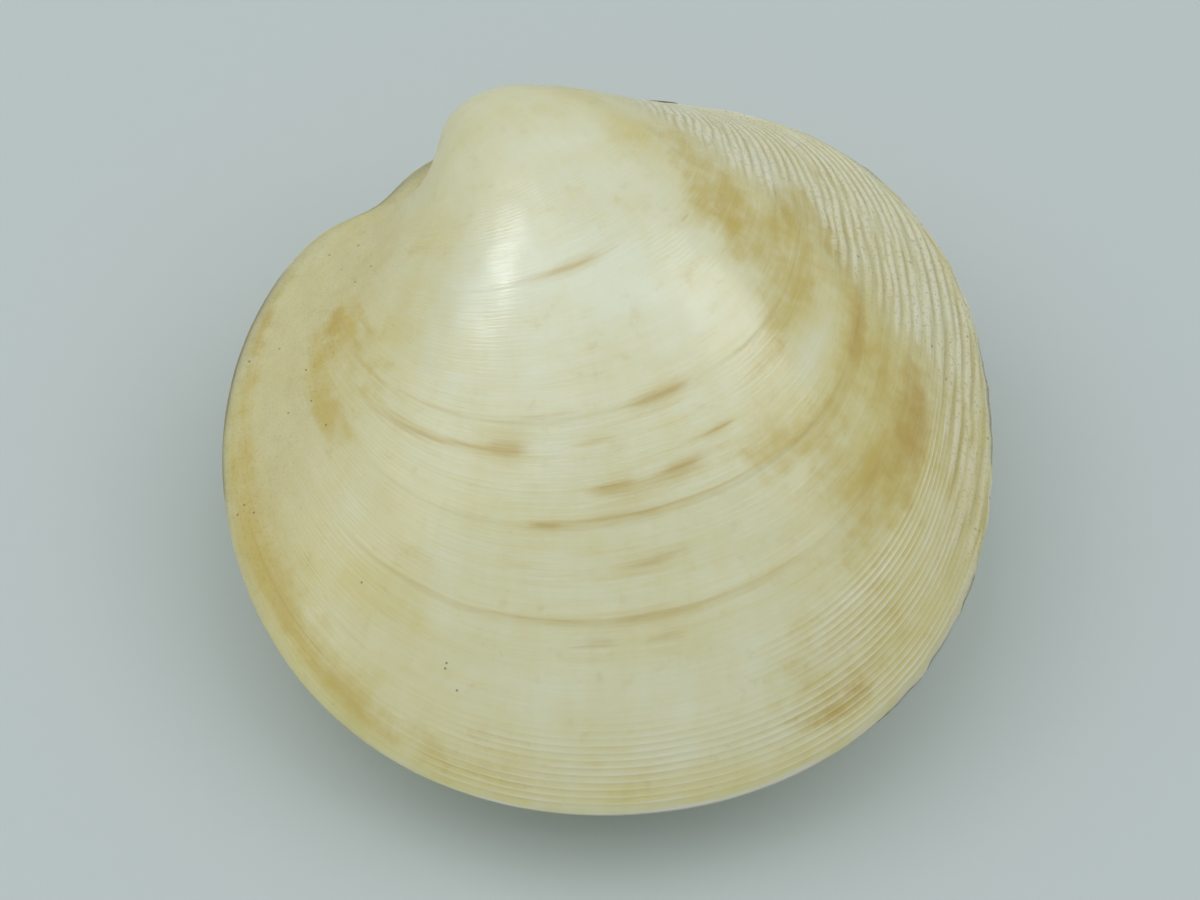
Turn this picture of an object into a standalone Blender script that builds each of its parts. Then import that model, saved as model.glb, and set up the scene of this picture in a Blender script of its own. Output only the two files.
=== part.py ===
"""A round, concentrically ridged clam shell, closed, lying on its right valve.

The pair is three grown pieces: the left valve on top, its mirror image below, and
the ligament that held them, a short strip in the groove behind the beaks. A valve is
a shell that kept its shape while it grew: each growth line is the margin made
smaller about the beak and turned about one coiling axis. That one rule gives the
domed disc, the swollen umbo and the beak that curls forward and down.

Shell frame, before the pair is laid down: the valves meet in the plane z = 0, the
anterior end is at -x, the posterior end at +x and the hinge at +y.
Blender units are metres; the driving sizes below are in millimetres and degrees.
"""

import math

import bmesh
import bpy
from mathutils import Matrix, Vector

MM = 0.001

# Margin of a valve: a near circle about its own centre
MARGIN_RADIUS = 23.3
MARGIN_LOBES = (
    # lobes round the margin, height, direction of the first lobe
    (2, 0.76, 43.0),
    (3, 0.43, 54.0),
    (4, 0.31, -36.0),
)
LUNULE_DENT = 1.0
LUNULE_AT = 134.0
LUNULE_HALF_WIDTH = 7.3

# Growth: size and turn about the beak
BEAK = Vector((-10.2, 18.8, 0.5))
COIL_AXIS_IN_PLANE = 24.7
COIL_AXIS_DIP = 21.9
COIL_RATE = 0.825
FIRST_STAGE = 0.03

# Relief: growth pauses as ledges, with smaller ledges between them
PAUSES = (1.0, 0.80, 0.70, 0.59, 0.43, 0.30)
LEDGES_BETWEEN = (5, 3, 3, 4, 2)
PAUSE_HEIGHT = 0.32
LEDGE_HEIGHT = 0.16
CREST_BACK = 0.22
UMBO_ROWS = 9
BARE_BESIDE_HINGE = 28.0
FADE_BESIDE_HINGE = 30.0

# Wall, thicker on the hinge plate under the beak
HINGE_AT = 112.0
COLUMNS = 46
WALL_INSET = 1.9
HINGE_PLATE = 2.8
HINGE_PLATE_SPREAD = 38.0
CAVITY_STAGES = (1.0, 0.92, 0.82, 0.71, 0.60, 0.50, 0.41)
VALVE_GAP = 0.3

# Ligament: a flat strip on the hinge margin, raised where the umbones bulge beside it
LIGAMENT_FROM = 108.0
LIGAMENT_TO = 80.0
LIGAMENT_POINTS = 11
LIGAMENT_HEIGHT = 0.4
LIGAMENT_WIDTH = 1.4
LIGAMENT_TIP = 0.35
LIGAMENT_GAP = 0.2
UMBO_BULGE = 0.4
UMBO_BULGE_SPREAD = 12.0

# Rest: how the closed pair leans when it lies on its right valve
REST_PITCH = 9.5
REST_ROLL = -0.5
REST_FLAT = 0.2
CUTTER_SIDE = 30.0
CUTTER_DEPTH = 5.0


def clear_scene():
    for item in list(bpy.data.objects):
        bpy.data.objects.remove(item, do_unlink=True)


def away_from(angle, centre):
    """Degrees between two directions round the margin, from 0 to 180."""
    return abs((angle - centre + 180.0) % 360.0 - 180.0)


def bell(distance, width):
    return math.exp(-((distance / width) ** 2))


def smooth_step(low, high, value):
    share = min(max((value - low) / (high - low), 0.0), 1.0)
    return share * share * (3.0 - 2.0 * share)


def margin_radius(angle):
    radius = MARGIN_RADIUS
    for lobes, height, direction in MARGIN_LOBES:
        radius += height * math.cos(lobes * math.radians(angle - direction))
    return radius - LUNULE_DENT * bell(away_from(angle, LUNULE_AT), LUNULE_HALF_WIDTH)


def margin_point(angle):
    turn = math.radians(angle)
    return Vector((math.cos(turn), math.sin(turn), 0.0)) * margin_radius(angle)


def coil_axis():
    across = math.radians(COIL_AXIS_IN_PLANE)
    dip = math.radians(COIL_AXIS_DIP)
    flat = math.cos(dip)
    return Vector((flat * math.cos(across), flat * math.sin(across), -math.sin(dip)))


def stage_turn(stage):
    """Turn of a growth line about the coiling axis, none at the margin."""
    return Matrix.Rotation(COIL_RATE * math.log(stage), 3, coil_axis())


def outward_normal(angle):
    """Outward normal of the valve at the margin; it turns with the growth line."""
    step = 0.5
    along = margin_point(angle + step) - margin_point(angle - step)
    reach = margin_point(angle) - BEAK
    growth = reach + COIL_RATE * coil_axis().cross(reach)
    return growth.cross(along).normalized()


def relief_share(angle):
    """Full ledges on the disc and none beside the hinge."""
    bare = BARE_BESIDE_HINGE
    return smooth_step(bare, bare + FADE_BESIDE_HINGE, away_from(angle, HINGE_AT))


def outer_point(stage, angle, height):
    flat = (margin_point(angle) - BEAK) * stage
    raised = flat + outward_normal(angle) * height * relief_share(angle)
    return BEAK + stage_turn(stage) @ raised


def wall_inset(angle):
    return WALL_INSET + HINGE_PLATE * bell(away_from(angle, HINGE_AT), HINGE_PLATE_SPREAD)


def inner_point(stage, angle):
    flat = (margin_point(angle) - BEAK) * stage
    inward = -margin_point(angle).normalized() * wall_inset(angle)
    return BEAK + stage_turn(stage) @ (flat + inward)


def outer_rows():
    """Growth stage and ledge height of each row, from the margin to the beak."""
    rows = [(PAUSES[0], 0.0)]
    for outer, inner, count in zip(PAUSES, PAUSES[1:], LEDGES_BETWEEN):
        step = (outer - inner) / count
        for ledge in range(count):
            foot = outer - step * ledge
            if foot < 1.0:
                rows.append((foot, 0.0))
            height = PAUSE_HEIGHT if ledge == 0 else LEDGE_HEIGHT
            rows.append((foot - step * CREST_BACK, height * foot))
    shrink = (FIRST_STAGE / PAUSES[-1]) ** (1.0 / UMBO_ROWS)
    for row in range(UMBO_ROWS + 1):
        rows.append((PAUSES[-1] * shrink**row, 0.0))
    return rows


def add_ring(mesh, points, side):
    """One closed row of vertices, moved off the plane where the valves meet."""
    lift = Vector((0.0, 0.0, VALVE_GAP / 2))
    flip = Vector((1.0, 1.0, side))
    return [mesh.verts.new((point + lift) * flip * MM) for point in points]


def bridge(mesh, first, second):
    count = len(first)
    for index in range(count):
        after = (index + 1) % count
        mesh.faces.new((first[index], first[after], second[after], second[index]))


def close_end(mesh, ring):
    """Fan from a ring to its middle."""
    middle = sum((vert.co for vert in ring), Vector()) / len(ring)
    tip = mesh.verts.new(middle)
    for index, vert in enumerate(ring):
        mesh.faces.new((vert, ring[(index + 1) % len(ring)], tip))


def valve_mesh(name, side):
    """Skin from the cavity's roof down to the rim, and up over the disc to the beak."""
    angles = [360.0 * column / COLUMNS for column in range(COLUMNS)]
    mesh = bmesh.new()
    cavity = [
        add_ring(mesh, [inner_point(stage, angle) for angle in angles], side)
        for stage in reversed(CAVITY_STAGES)
    ]
    outside = [
        add_ring(mesh, [outer_point(stage, angle, height) for angle in angles], side)
        for stage, height in outer_rows()
    ]
    rings = cavity + outside
    for first, second in zip(rings, rings[1:]):
        bridge(mesh, first, second)
    close_end(mesh, list(reversed(rings[0])))
    close_end(mesh, rings[-1])
    bmesh.ops.recalc_face_normals(mesh, faces=mesh.faces)
    data = bpy.data.meshes.new(name)
    mesh.to_mesh(data)
    mesh.free()
    data.shade_smooth()
    data.set_sharp_from_angle(angle=math.radians(25.0))
    return data


def finish(name, colour, roughness):
    material = bpy.data.materials.new(name)
    material.use_nodes = True
    shader = material.node_tree.nodes["Principled BSDF"]
    shader.inputs["Base Color"].default_value = (*colour, 1.0)
    shader.inputs["Roughness"].default_value = roughness
    shader.inputs["Metallic"].default_value = 0.0
    material.diffuse_color = (*colour, 1.0)
    return material


def shell_finish():
    return finish("polished_aragonite_shell", (0.72, 0.66, 0.46), 0.35)


def ligament_finish():
    return finish("dry_horny_ligament", (0.09, 0.045, 0.02), 0.6)


def add_valve(name, side, material, collection, frame):
    valve = bpy.data.objects.new(name, valve_mesh(name, side))
    valve.data.materials.append(material)
    collection.objects.link(valve)
    valve.parent = frame
    return valve


def ligament_route():
    """Centre line and half height, from the beaks back along the hinge margin."""
    route = []
    for step in range(LIGAMENT_POINTS):
        share = step / (LIGAMENT_POINTS - 1)
        angle = LIGAMENT_FROM + (LIGAMENT_TO - LIGAMENT_FROM) * share
        fullness = LIGAMENT_TIP + (1.0 - LIGAMENT_TIP) * math.sin(math.pi * share) ** 0.7
        half_height = LIGAMENT_HEIGHT / 2 * fullness
        margin = margin_point(angle)
        bulge = UMBO_BULGE * bell(away_from(angle, HINGE_AT), UMBO_BULGE_SPREAD)
        clear = half_height + LIGAMENT_GAP + bulge
        route.append((margin + margin.normalized() * clear, half_height))
    return route


def ligament_curve(name):
    curve = bpy.data.curves.new(name, "CURVE")
    curve.dimensions = "3D"
    curve.bevel_depth = MM
    curve.bevel_resolution = 2
    curve.use_fill_caps = True
    route = ligament_route()
    spline = curve.splines.new("POLY")
    spline.points.add(len(route) - 1)
    for point, (place, half_height) in zip(spline.points, route):
        point.co = (*(place * MM), 1.0)
        point.radius = half_height
    return curve


def add_ligament(name, material, collection, frame):
    """The strip is swept as a round curve, welded shut and widened across the seam."""
    guide = bpy.data.objects.new(name + "_route", ligament_curve(name))
    collection.objects.link(guide)
    graph = bpy.context.evaluated_depsgraph_get()
    data = bpy.data.meshes.new_from_object(guide.evaluated_get(graph))
    bpy.data.objects.remove(guide, do_unlink=True)
    mesh = bmesh.new()
    mesh.from_mesh(data)
    bmesh.ops.remove_doubles(mesh, verts=mesh.verts, dist=1e-6)
    for vert in mesh.verts:
        vert.co.z *= LIGAMENT_WIDTH / LIGAMENT_HEIGHT
    bmesh.ops.recalc_face_normals(mesh, faces=mesh.faces)
    mesh.to_mesh(data)
    mesh.free()
    data.materials.clear()
    data.materials.append(material)
    data.shade_smooth()
    strip = bpy.data.objects.new(name, data)
    collection.objects.link(strip)
    strip.parent = frame
    return strip


def add_rest_frame(collection):
    """Empty that leans the pair the way it lies."""
    frame = bpy.data.objects.new("rest_frame", None)
    frame.rotation_euler = (math.radians(REST_PITCH), math.radians(REST_ROLL), 0.0)
    collection.objects.link(frame)
    return frame


def world_points(item):
    return [item.matrix_world @ vert.co for vert in item.data.vertices]


def lay_down(frame, pieces):
    """Box centred over the origin, with the lowest shell just under the floor."""
    bpy.context.view_layer.update()
    points = [point for piece in pieces for point in world_points(piece)]
    for axis in range(2):
        values = [point[axis] for point in points]
        frame.location[axis] = -(min(values) + max(values)) / 2
    frame.location.z = -REST_FLAT * MM - min(point.z for point in points)


def add_floor_cutter(valve, collection):
    """Box under the floor that wears the lowest shell to a small flat spot."""
    bpy.context.view_layer.update()
    lowest = min(world_points(valve), key=lambda point: point.z)
    mesh = bmesh.new()
    bmesh.ops.create_cube(mesh, size=1.0)
    size = Vector((CUTTER_SIDE, CUTTER_SIDE, CUTTER_DEPTH)) * MM
    bmesh.ops.scale(mesh, vec=size, verts=mesh.verts)
    data = bpy.data.meshes.new("floor_cutter")
    mesh.to_mesh(data)
    mesh.free()
    cutter = bpy.data.objects.new("floor_cutter", data)
    cutter.location = (lowest.x, lowest.y, -CUTTER_DEPTH / 2 * MM)
    cutter.hide_render = True
    cutter.display_type = "WIRE"
    collection.objects.link(cutter)
    return cutter


def cut_flat(valve, cutter):
    wear = valve.modifiers.new("rest_flat", "BOOLEAN")
    wear.operation = "DIFFERENCE"
    wear.solver = "EXACT"
    wear.object = cutter


def add_collection(name):
    collection = bpy.data.collections.new(name)
    bpy.context.scene.collection.children.link(collection)
    return collection


def main():
    clear_scene()
    pair = add_collection("dosinia_lucinalis")
    cutters = add_collection("cutters")
    frame = add_rest_frame(pair)
    shell = shell_finish()
    left = add_valve("left_valve", 1, shell, pair, frame)
    right = add_valve("right_valve", -1, shell, pair, frame)
    ligament = add_ligament("ligament", ligament_finish(), pair, frame)
    lay_down(frame, [left, right, ligament])
    cut_flat(right, add_floor_cutter(right, cutters))


main()
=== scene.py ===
"""Looks of a closed, concentrically ridged round clam lying on its right valve.

Both valves come from one growth rule: each growth line is the margin made smaller
about the beak and turned about one coiling axis. A Geometry Nodes tree lays the rows
of a valve along that rule, four to a ridge, and adds the relief: single fine ridges on
the disc, and ridges fused by threes on the posterior flank. Stains are soft patches
placed by growth stage (1 at the margin, 0 at the beak) and direction round the margin.

Shell frame: the valves meet in the plane z = 0, the anterior end is at -x, the
posterior end at +x and the hinge at +y. Growth sizes are in millimetres and degrees.
Directions run from the hinge at 112 degrees over the anterior end (180), the ventral
margin (270) and the posterior end (360) back to the hinge (472).
"""

import math
from functools import partial

import bmesh
import bpy
import numpy as np
from bpy.props import FloatProperty, FloatVectorProperty, PointerProperty
from mathutils import Matrix, Quaternion, Vector


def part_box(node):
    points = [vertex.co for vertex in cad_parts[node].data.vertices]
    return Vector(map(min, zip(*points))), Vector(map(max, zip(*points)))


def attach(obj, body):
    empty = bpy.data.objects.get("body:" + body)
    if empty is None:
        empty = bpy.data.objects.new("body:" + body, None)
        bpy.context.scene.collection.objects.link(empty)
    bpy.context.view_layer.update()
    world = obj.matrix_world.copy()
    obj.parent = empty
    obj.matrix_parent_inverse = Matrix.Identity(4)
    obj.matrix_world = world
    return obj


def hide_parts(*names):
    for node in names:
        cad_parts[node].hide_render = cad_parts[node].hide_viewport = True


bl_info = {
    "name": "Ridged Round Clam",
    "version": (1, 0, 0),
    "blender": (4, 5, 0),
    "location": "3D View > Sidebar > Clam",
    "description": "Builds the valves and the ligament of a closed, concentrically ridged clam",
    "category": "Add Mesh",
}

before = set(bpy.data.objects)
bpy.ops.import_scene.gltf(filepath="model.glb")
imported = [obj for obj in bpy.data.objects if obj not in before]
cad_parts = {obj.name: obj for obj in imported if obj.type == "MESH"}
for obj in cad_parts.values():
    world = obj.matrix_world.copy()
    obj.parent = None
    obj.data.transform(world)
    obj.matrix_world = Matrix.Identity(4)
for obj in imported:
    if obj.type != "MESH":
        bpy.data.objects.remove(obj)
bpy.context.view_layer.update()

MM = 0.001

# Margin of a valve: a near circle with a few low lobes and a dent at the lunule
MARGIN_RADIUS = 23.3
MARGIN_LOBES = (
    # lobes round the margin, height, direction of the first lobe
    (2, 0.76, 43.0),
    (3, 0.43, 54.0),
    (4, 0.31, -36.0),
)
LUNULE_DENT = 1.0
LUNULE_AT = 134.0
LUNULE_HALF_WIDTH = 7.3

# Growth: size and turn about the beak
BEAK = Vector((-10.2, 18.8, 0.5))
COIL_AXIS_IN_PLANE = 24.7
COIL_AXIS_DIP = 21.9
COIL_RATE = 0.825
FIRST_STAGE = 0.03
HINGE_AT = 112.0

# Wall: its width on the rim, more on the hinge plate, and how far up the cavity goes
WALL_INSET = 1.9
HINGE_PLATE = 2.8
HINGE_PLATE_SPREAD = 38.0
CAVITY_TOP_STAGE = 0.41
CAD_VALVE_GAP = 0.3

# Ridges: the stage after a number of ridges is RIDGE_FALL * exp(-ridges / RIDGE_SPAN) - RIDGE_REST,
# which spaces them 0.4 mm apart at the margin and 0.25 mm on the umbo
RIDGE_FALL = 1.6
RIDGE_REST = 0.6
RIDGE_SPAN = 200.0
ROWS_PER_RIDGE = 4
RIDGES_IN_MESH = 115
ROW_IN_RIDGE = (0.0, 0.36, 0.5, 0.66)
FINE_PROFILE = (0.0, 0.3, 1.0, 0.3)
COARSE_PROFILE = (0.0, 0.28, 0.44, 0.64, 0.92, 1.0, 0.97, 0.88, 0.62, 0.36, 0.24, 0.1)
RIDGES_FUSED = 3
UMBO_ROWS = 52
CAVITY_ROWS = 16
COLUMNS = 186
COLUMNS_LEAN = 20.0
COLUMNS_CLOSEST_AT = 390.0

# Growth pauses: stage, height of the step down to the younger shell, reach of its shoulder
PAUSES = (
    (0.797, 0.035, 0.02),
    (0.697, 0.04, 0.03),
    (0.586, 0.03, 0.03),
    (0.430, 0.02, 0.03),
)

# Share of their distance from the margin that growth lines keep where they crowd along it
CROWDING = 0.2
BACK_SWING = 0.35
CHIP_DEPTH = 0.14
# Shift of the noise between the two valves, in ridges
VALVE_SHIFT = 500.0

# Ligament, laid along the hinge margin as in the CAD model
LIGAMENT_FROM = 108.0
LIGAMENT_TO = 80.0
LIGAMENT_HEIGHT = 0.4
LIGAMENT_WIDTH = 1.4
LIGAMENT_TIP = 0.35
LIGAMENT_GAP = 0.03
LIGAMENT_RINGS = 90
LIGAMENT_SIDES = 48
LIGAMENT_FIBRES = 11
FIBRE_DEPTH = 0.06
UMBO_BULGE = 0.4
UMBO_BULGE_SPREAD = 12.0

# How the closed pair leans when it lies on its right valve
REST_PITCH = 9.5
REST_ROLL = -0.5

# Camera of the photograph: what it looks at, how far, and from where
CAMERA_TARGET = Vector((-0.74, -1.82, 12.0)) * MM
CAMERA_DISTANCE = 148.7 * MM
CAMERA_AZIMUTH = 5.3
CAMERA_ELEVATION = 56.85
CAMERA_ROLL = 5.79
LIGHT_DISTANCE = 0.5

# A paler halo round each stain along a growth line is this many times as wide and long
HALO_WIDTH = 3.0
HALO_LENGTH = 1.2

# Stains along growth lines
LINE_STAINS = (
    # stage, direction, half width in stage, half length in degrees, strength
    (0.429, 264, 0.004, 22, 0.45),
    (0.430, 269, 0.002, 9, 0.7),
    (0.448, 313, 0.002, 3, 0.6),
    (0.448, 321, 0.002, 3, 0.6),
    (0.586, 225, 0.003, 9, 0.35),
    (0.583, 257, 0.003, 8, 0.4),
    (0.588, 283, 0.006, 9, 0.6),
    (0.588, 284, 0.003, 5, 0.9),
    (0.592, 312, 0.002, 6, 0.4),
    (0.635, 210, 0.004, 6, 0.5),
    (0.628, 219, 0.004, 7, 0.6),
    (0.625, 228, 0.003, 6, 0.8),
    (0.620, 240, 0.003, 9, 0.7),
    (0.617, 246.5, 0.009, 4.5, 0.8),
    (0.615, 266, 0.003, 5, 0.4),
    (0.643, 294, 0.002, 4.5, 0.8),
    (0.650, 293, 0.006, 5, 0.3),
    (0.661, 284, 0.003, 4, 0.95),
    (0.667, 283, 0.008, 6, 0.45),
    (0.663, 269.5, 0.0025, 4, 1),
    (0.668, 271, 0.008, 7, 0.5),
    (0.694, 278, 0.002, 22, 0.65),
    (0.697, 255.5, 0.003, 3.5, 0.9),
    (0.694, 268, 0.003, 3, 0.5),
    (0.695, 275, 0.003, 3, 0.5),
    (0.701, 280, 0.006, 22, 0.2),
    (0.746, 274, 0.007, 5, 0.45),
    (0.741, 279, 0.004, 4, 0.35),
    (0.747, 256, 0.010, 9, 0.22),
    (0.796, 268, 0.002, 40, 0.5),
    (0.797, 275, 0.003, 6, 0.5),
    (0.803, 270, 0.008, 40, 0.15),
    (0.821, 265, 0.007, 4, 0.45),
    (0.822, 277, 0.007, 4, 0.4),
    (0.794, 323, 0.004, 6, 0.6),
    (0.772, 322, 0.003, 4, 0.6),
    (0.850, 222, 0.003, 9, 0.3),
    (0.902, 222, 0.003, 6, 0.3),
    (0.950, 210, 0.002, 12, 0.7),
    (0.930, 186, 0.003, 7, 0.5),
)

# Broad patches, in the same order
PATCH_STAINS = (
    # in front
    (0.630, 183, 0.050, 7, 1),
    (0.585, 189, 0.024, 8, 0.8),
    (0.552, 194, 0.014, 11, 0.6),
    (0.597, 200, 0.012, 15, 0.5),
    (0.630, 200, 0.030, 12, 0.35),
    (0.700, 184, 0.040, 9, 0.6),
    (0.722, 198, 0.026, 8, 1),
    (0.695, 201, 0.020, 9, 0.6),
    (0.675, 223, 0.008, 5, 0.35),
    (0.620, 215, 0.020, 12, 0.3),
    (0.930, 165, 0.035, 11, 0.6),
    (0.925, 182, 0.030, 12, 0.45),
    (0.958, 203, 0.018, 9, 0.9),
    (0.955, 214, 0.016, 7, 0.8),
    (0.967, 226, 0.020, 10, 0.8),
    (0.935, 205, 0.035, 22, 0.5),
    (0.975, 190, 0.020, 14, 0.5),
    (0.970, 246, 0.025, 22, 0.35),
    (0.390, 208, 0.030, 14, 0.2),
    # behind the umbo
    (0.410, 341, 0.050, 14, 0.75),
    (0.452, 324, 0.024, 10, 0.85),
    (0.475, 336, 0.026, 12, 0.9),
    (0.500, 328, 0.026, 9, 0.7),
    (0.540, 334, 0.050, 12, 0.8),
    (0.552, 345, 0.016, 8, 0.8),
    (0.577, 354, 0.016, 8, 0.8),
    (0.600, 334, 0.035, 12, 0.75),
    (0.600, 364, 0.016, 7, 0.8),
    (0.627, 370, 0.015, 6, 0.8),
    (0.600, 318, 0.022, 7, 0.7),
    (0.600, 346, 0.030, 10, 0.7),
    (0.640, 360, 0.040, 14, 0.65),
    (0.680, 354, 0.030, 20, 0.45),
    # behind, towards the ventral margin
    (0.705, 341, 0.022, 10, 1),
    (0.705, 322, 0.022, 13, 0.8),
    (0.690, 304, 0.024, 8, 0.9),
    (0.655, 300, 0.012, 6, 0.4),
    (0.615, 312, 0.014, 7, 0.4),
    (0.940, 318, 0.030, 10, 0.3),
    (0.815, 317, 0.024, 7, 0.65),
    (0.647, 289, 0.014, 5, 0.55),
    (0.745, 315, 0.026, 11, 0.6),
    (0.755, 342, 0.035, 12, 0.7),
    (0.785, 324, 0.018, 9, 0.9),
    (0.812, 338, 0.028, 14, 0.8),
    (0.840, 328, 0.030, 10, 0.4),
    (0.870, 346, 0.050, 18, 0.5),
    (0.920, 348, 0.030, 14, 0.4),
    (0.955, 304, 0.022, 8, 0.85),
    (0.900, 304, 0.050, 14, 0.4),
)

# The darkest parts of the patches, browned by dirt
DARK_STAINS = (
    (0.825, 343, 0.030, 12, 0.8),
    (0.704, 343, 0.014, 8, 0.6),
    (0.635, 182, 0.045, 5, 0.5),
    (0.945, 163, 0.030, 10, 0.5),
    (0.955, 305, 0.015, 6, 0.4),
    (0.470, 331, 0.012, 9, 0.25),
    (0.570, 352, 0.014, 7, 0.25),
)

# Dark specks by stage and direction, and their radius
SPECK_RADIUS = 0.06
SPECKS = (
    (0.837, 222.5),
    (0.867, 240),
    (0.873, 240.7),
    (0.892, 243.5),
    (0.660, 366.5),
    (0.738, 193),
    (0.725, 199),
    (0.735, 185.5),
    (0.936, 197),
    (0.953, 194),
)

# Sizes of the patterns in the finishes; the grain, the fibres and the mottling of the board
# are finer in real things, and are drawn as coarse as they need to be to show
CLOUD_SIZE = 4.545
MOTTLE_SIZE = 1.111
GRAIN_SIZE = 0.2174
DOT_SPACING = 0.909
FIBRE_LENGTH = 2.857
FIBRE_WIDTH = 0.2857
BOARD_MOTTLE_SIZE = 1.667

# Colours of small things
PIT_COLOUR = "#94803F"
SPECK_COLOUR = "#4A3B26"
BOARD_MOTTLE_COLOUR = "#AAB3B3"
SKY_COLOUR = "#DDE6E8"

MAP_RANGE = "ShaderNodeMapRange"
MIX = "ShaderNodeMix"
NOISE = "ShaderNodeTexNoise"
GROUP = "GeometryNodeGroup"
SWITCH = "GeometryNodeSwitch"
# Maths nodes, by the word that stands before the operation
MATHS = {"": "ShaderNodeMath", "vector": "ShaderNodeVectorMath", "whole": "FunctionNodeIntegerMath"}
# Sockets of a tree, by the type of their default
SOCKETS = {
    float: "NodeSocketFloat",
    int: "NodeSocketInt",
    tuple: "NodeSocketVector",
    type(None): "NodeSocketMaterial",
}


def linear(hex_colour):
    """sRGB hex to a linear RGBA tuple."""
    values = [int(hex_colour[start:start + 2], 16) / 255 for start in (1, 3, 5)]
    return (*[v / 12.92 if v <= 0.04045 else ((v + 0.055) / 1.055) ** 2.4 for v in values], 1.0)


def per_metre(size):
    """Scale of a texture whose pattern has this size in millimetres."""
    return 1.0 / (size * MM)


def wire(tree, kind, *feeds, **settings):
    """Add a node. Lower-case settings are its options, the others name its sockets;
    feeds fill the open sockets in order, from values, sockets or whole nodes.
    An operation such as "ADD" or "vector ADD" stands for its maths node."""
    family, _, operation = kind.rpartition(" ")
    if operation.isupper():
        kind = MATHS[family]
        settings["operation"] = operation
    node = tree.nodes.new(kind)
    named = {}
    for name, value in settings.items():
        if name[0].isupper():
            named[name.replace("_", " ")] = value
        else:
            setattr(node, name, value)
    sockets = [socket for socket in node.inputs if socket.enabled]
    pairs = list(zip(sockets, feeds))
    for name, value in named.items():
        pairs.append((next(socket for socket in sockets if socket.name == name), value))
    for socket, value in pairs:
        if isinstance(value, bpy.types.Node):
            value = next(out for out in value.outputs if out.enabled)
        if isinstance(value, bpy.types.NodeSocket):
            tree.links.new(value, socket)
        elif value is not None:
            socket.default_value = value
    return node


def new_tree(name, inputs, outputs):
    """Geometry Nodes tree with its sockets: the tree, a function that adds a node, its inputs."""
    tree = bpy.data.node_groups.new(name, "GeometryNodeTree")
    for label, default in inputs.items():
        kind = SOCKETS[type(default)]
        socket = tree.interface.new_socket(label, in_out="INPUT", socket_type=kind)
        if default is not None:
            socket.default_value = default
    for label, kind in outputs.items():
        tree.interface.new_socket(label, in_out="OUTPUT", socket_type=kind)
    return tree, partial(wire, tree), tree.nodes.new("NodeGroupInput").outputs


def placed(name, data):
    """New object in the scene."""
    thing = bpy.data.objects.new(name, data)
    bpy.context.scene.collection.objects.link(thing)
    return thing


def mesh_of(work, name):
    mesh = bpy.data.meshes.new(name)
    work.to_mesh(mesh)
    work.free()
    return mesh


def cleared_tree(data):
    """Node tree of a material or world, without the nodes it comes with."""
    data.use_nodes = True
    data.node_tree.nodes.clear()
    return data.node_tree


def coil_axis():
    across = math.radians(COIL_AXIS_IN_PLANE)
    dip = math.radians(COIL_AXIS_DIP)
    flat = math.cos(dip)
    return Vector((flat * math.cos(across), flat * math.sin(across), -math.sin(dip)))


def away_from(angle, centre):
    """Degrees between two directions round the margin, from 0 to 180."""
    return np.abs((angle - centre + 180.0) % 360.0 - 180.0)


def margin_radius(angle):
    radius = MARGIN_RADIUS - LUNULE_DENT * np.exp(
        -((away_from(angle, LUNULE_AT) / LUNULE_HALF_WIDTH) ** 2)
    )
    for lobes, height, direction in MARGIN_LOBES:
        radius = radius + height * np.cos(lobes * np.radians(angle - direction))
    return radius


def margin_tree():
    """Point of the margin at a direction, in the plane where the valves meet."""
    tree, add, given = new_tree("margin_point", {"Direction": 0.0}, {"Point": "NodeSocketVector"})
    direction = given["Direction"]
    radius = MARGIN_RADIUS
    for lobes, height, first in MARGIN_LOBES:
        turn = add("ADD", direction, -first)
        turn = add("MULTIPLY", turn, math.radians(lobes))
        wave = add("COSINE", turn)
        radius = add("MULTIPLY_ADD", wave, height, radius)
    dent = hump(add, add("ADD", direction, -LUNULE_AT), LUNULE_HALF_WIDTH)
    radius = add("MULTIPLY_ADD", dent, -LUNULE_DENT, radius)
    turn = add("RADIANS", direction)
    cosine = add("COSINE", turn)
    sine = add("SINE", turn)
    unit = add("ShaderNodeCombineXYZ", cosine, sine)
    point = add("vector SCALE", unit, Scale=radius)
    add("NodeGroupOutput", point)
    return tree


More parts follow.
